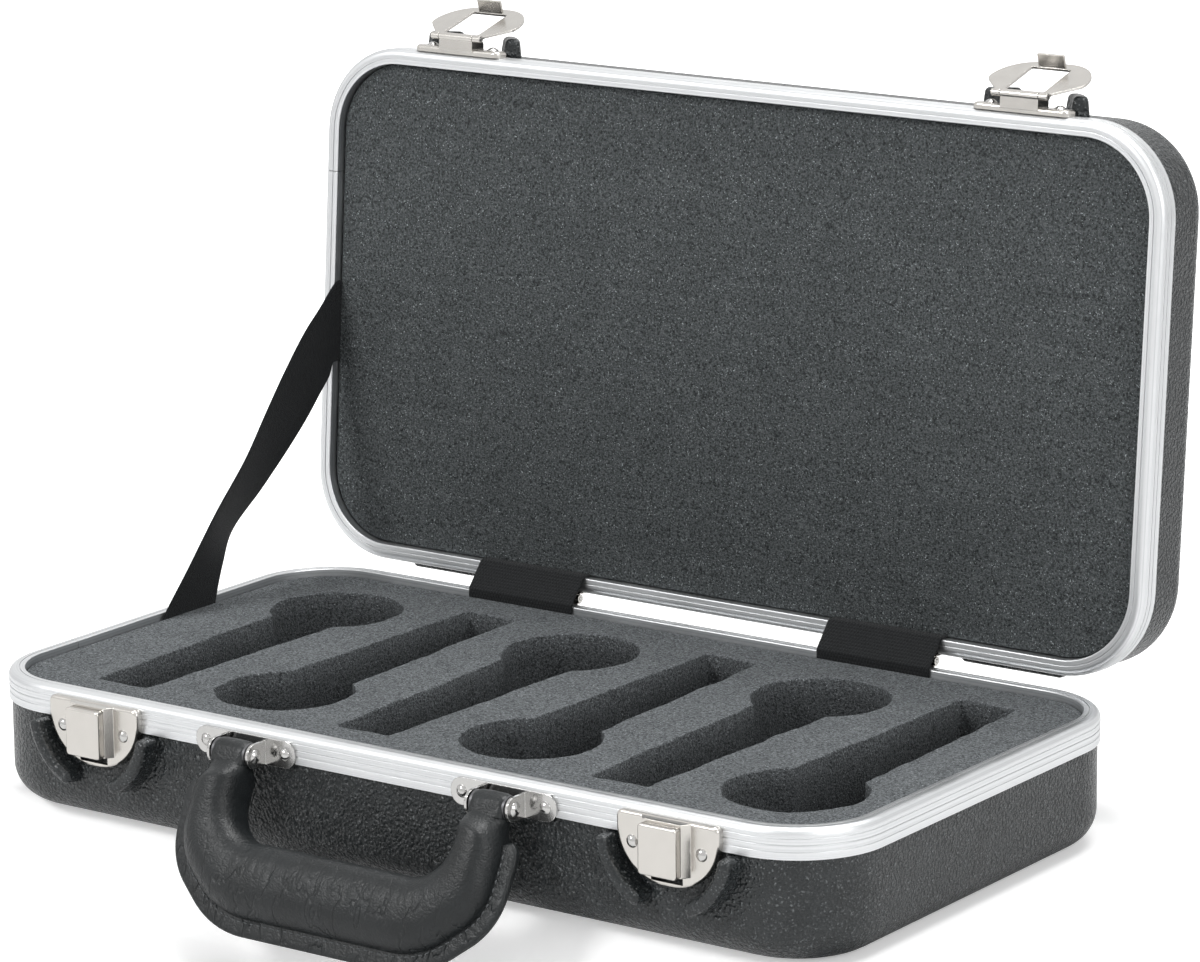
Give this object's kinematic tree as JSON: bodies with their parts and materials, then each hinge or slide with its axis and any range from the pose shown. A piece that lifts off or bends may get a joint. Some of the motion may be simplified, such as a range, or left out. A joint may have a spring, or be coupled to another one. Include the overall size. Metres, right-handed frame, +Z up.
{
  "type": "microphone case",
  "caption": "Black moulded case with an aluminium rim, open, its foam cut for hand-held microphones, with toggle latches and a padded handle.",
  "frame": {"origin": "centre of the underside of the base", "axes": "X along the case, -Y the handle side, +Y the hinge side, Z up"},
  "size_m": [0.42, 0.3271, 0.3214],
  "materials": {
    "moulded_shell": "pebble-grained moulded black plastic",
    "aluminium_frame": "satin extruded aluminium",
    "nickel_plate": "nickel-plated pressed steel",
    "base_foam": "open grey foam",
    "lid_foam": "dark grey foam",
    "webbing": "black woven webbing",
    "grip_cover": "grained dark leather-look cover"
  },
  "bodies": {
    "base": {"base_shell": "moulded_shell", "base_frame": "aluminium_frame", "base_foam_pad": "base_foam", "base_foam": "base_foam", "latch_plate_left": "nickel_plate", "latch_plate_right": "nickel_plate", "latch_spring_left": "nickel_plate", "latch_spring_right": "nickel_plate", "latch_rivets": "nickel_plate", "handle_bracket_left": "nickel_plate", "handle_bracket_right": "nickel_plate", "bracket_rivets": "nickel_plate", "handle_pins": "nickel_plate", "hinge_leaf_base_left": "nickel_plate", "hinge_leaf_base_right": "nickel_plate", "hinge_rivets_base": "nickel_plate", "hinge_pins": "nickel_plate", "webbing_left": "webbing", "webbing_right": "webbing", "stay_strap": "webbing"},
    "lid": {"lid_shell": "moulded_shell", "lid_frame": "aluminium_frame", "lid_foam": "lid_foam", "hasp_plate_left": "nickel_plate", "hasp_plate_right": "nickel_plate", "hasp_rivets": "nickel_plate", "hasp_pins": "nickel_plate", "hinge_leaf_lid_left": "nickel_plate", "hinge_leaf_lid_right": "nickel_plate", "hinge_rivets_lid": "nickel_plate"},
    "flap_left": {"hasp_flap_left": "nickel_plate"},
    "flap_right": {"hasp_flap_right": "nickel_plate"},
    "slide_left": {"latch_slide_left": "nickel_plate"},
    "slide_right": {"latch_slide_right": "nickel_plate"},
    "handle": {"handle_core": "nickel_plate", "handle_grip": "grip_cover", "handle_welt": "grip_cover"}
  },
  "joints": [
    {"name": "lid_hinge", "type": "hinge", "parent": "base", "child": "lid", "pos_m": [0, 0.1151, 0.0559], "axis": [1, 0, 0], "range_deg": [0, 94.4], "deforming": ["webbing_left", "webbing_right", "stay_strap"]},
    {"name": "hasp_left_hinge", "type": "hinge", "parent": "lid", "child": "flap_left", "pos_m": [-0.141, 0.13333, 0.29019], "axis": [1, 0, 0], "range_deg": [0, 160]},
    {"name": "hasp_right_hinge", "type": "hinge", "parent": "lid", "child": "flap_right", "pos_m": [0.141, 0.13333, 0.29019], "axis": [1, 0, 0], "range_deg": [0, 160]},
    {"name": "latch_slide_left", "type": "slide", "parent": "base", "child": "slide_left", "axis": [0, 0, 1], "range_m": [0, 0.0015], "stiffness_N_per_m": 400, "springref_m": -0.002, "deforming": ["latch_spring_left"]},
    {"name": "latch_slide_right", "type": "slide", "parent": "base", "child": "slide_right", "axis": [0, 0, 1], "range_m": [0, 0.0015], "stiffness_N_per_m": 400, "springref_m": -0.002, "deforming": ["latch_spring_right"]},
    {"name": "handle_pivot", "type": "hinge", "parent": "base", "child": "handle", "pos_m": [0, -0.12, 0.0453], "axis": [-1, 0, 0], "range_deg": [0, 120]}
  ]
}
